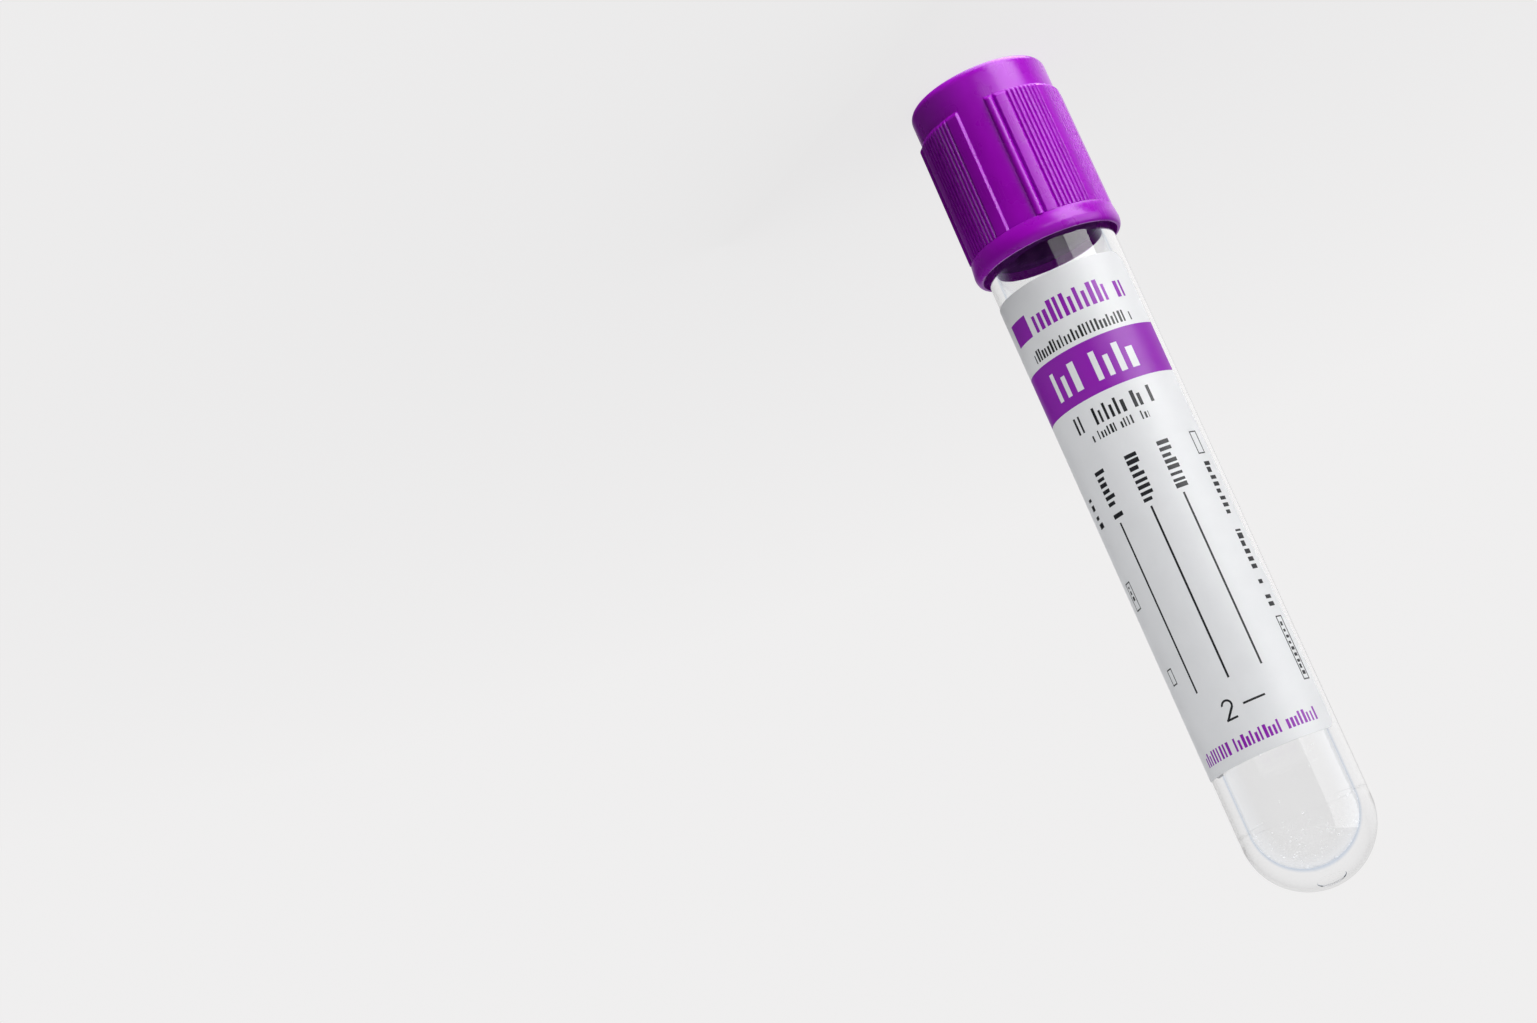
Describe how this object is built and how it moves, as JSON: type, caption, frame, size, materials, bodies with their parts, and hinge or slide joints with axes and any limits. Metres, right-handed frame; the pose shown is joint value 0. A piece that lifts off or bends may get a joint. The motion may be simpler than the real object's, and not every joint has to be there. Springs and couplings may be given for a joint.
{
  "type": "blood collection tube",
  "caption": "Clear round-bottomed specimen tube with a wrapped paper label, a rubber stopper in its mouth and a purple ribbed cap over the stopper.",
  "frame": {"origin": "centre of the cap's flat end, which the part stands on", "axes": "+Z along the tube from the cap to the round end; -Y is the front of the label"},
  "size_m": [0.0148, 0.0148, 0.0826],
  "materials": {
    "clear_plastic": "clear, glossy",
    "label_paper": "satin coated, printed band and writing lines",
    "stopper_rubber": "smooth moulded, dull",
    "purple_plastic": "satin moulded"
  },
  "bodies": {
    "cap": {"cap_shield": "purple_plastic"},
    "stopper": {"rubber_stopper": "stopper_rubber"},
    "tube": {"tube": "clear_plastic", "label": "label_paper"}
  },
  "joints": [
    {"name": "cap_twist", "type": "hinge", "parent": "cap", "child": "stopper", "pos_m": [0, 0, 0.008], "axis": [0, 0, 1], "continuous": true},
    {"name": "tube_pull", "type": "slide", "parent": "stopper", "child": "tube", "axis": [0, 0, 1], "range_m": [0, 0.022]}
  ]
}
